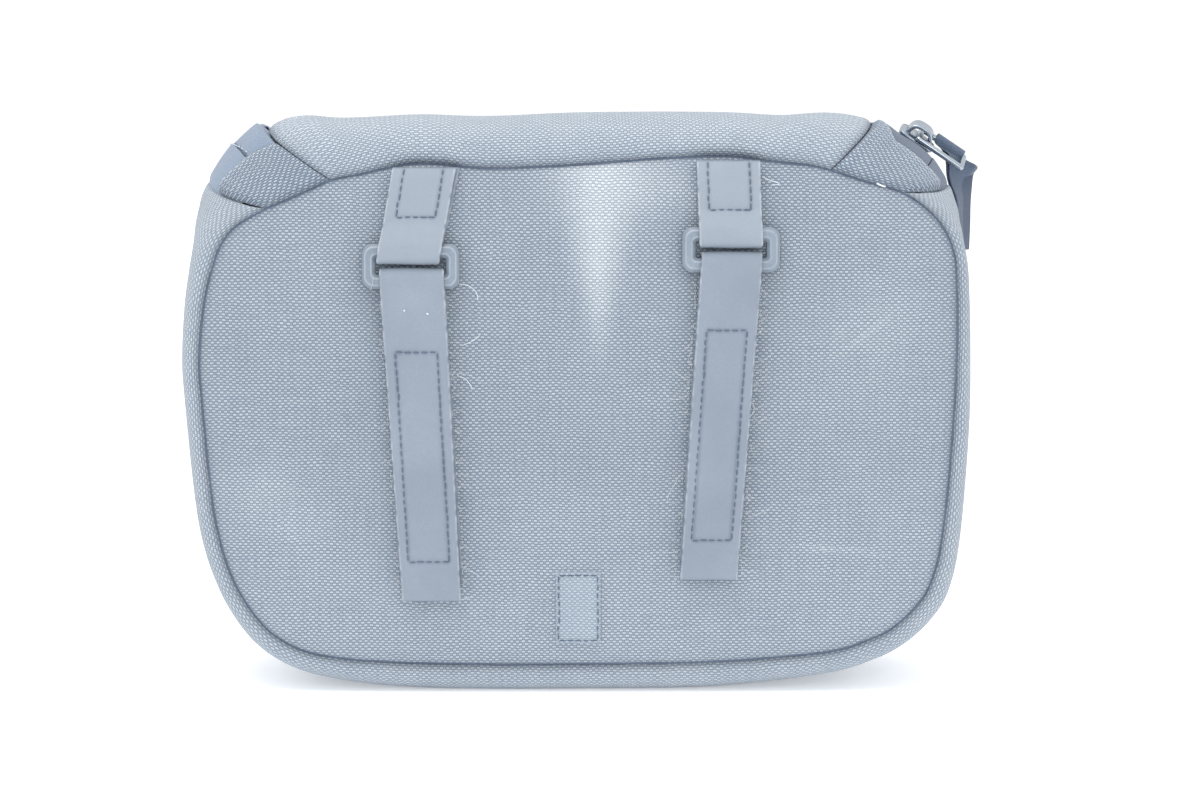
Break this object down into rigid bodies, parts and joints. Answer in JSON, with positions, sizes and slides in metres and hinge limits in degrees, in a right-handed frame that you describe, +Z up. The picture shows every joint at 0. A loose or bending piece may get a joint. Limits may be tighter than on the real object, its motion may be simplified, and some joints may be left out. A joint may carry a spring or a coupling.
{
  "type": "handlebar bag",
  "caption": "Small padded fabric handlebar bag with a zipped top and strap-and-ring fastenings on its back panel.",
  "frame": {"origin": "middle of the flat base that the bag stands on", "axes": "+X across the bag, to the right as seen from the panel with the straps; +Y from that panel to the front; +Z up"},
  "size_m": [0.2586, 0.0836, 0.1871],
  "materials": {
    "coated_nylon": "coarse plain-woven coated nylon over thin padding",
    "folded_nylon": "the same nylon folded double",
    "zip_tape": "smooth woven tape",
    "zip_coil": "nylon coil",
    "zip_metal": "plated cast metal",
    "ribbon": "fine woven ribbon",
    "webbing": "rubber-faced webbing, matt",
    "hook_and_loop": "hook and loop pile",
    "ring_plastic": "moulded plastic, slightly worn"
  },
  "bodies": {
    "root": {"back_panel": "coated_nylon", "front_panel": "coated_nylon", "side_gusset": "coated_nylon", "top_band_back": "coated_nylon", "top_band_front": "coated_nylon", "corner_tab_left": "folded_nylon", "corner_tab_right": "folded_nylon", "zip_tape_back": "zip_tape", "zip_tape_front": "zip_tape", "zip_end_left": "zip_tape", "zip_end_right": "zip_tape", "zip_coil": "zip_coil", "zip_slider": "zip_metal", "zip_pull": "zip_metal", "pull_ribbon": "ribbon", "ring_loop_left": "webbing", "ring_loop_right": "webbing", "bar_strap_left": "webbing", "bar_strap_right": "webbing", "hook_pad_left": "hook_and_loop", "hook_pad_right": "hook_and_loop", "ring_left": "ring_plastic", "ring_right": "ring_plastic", "base_patch": "coated_nylon"}
  },
  "joints": []
}
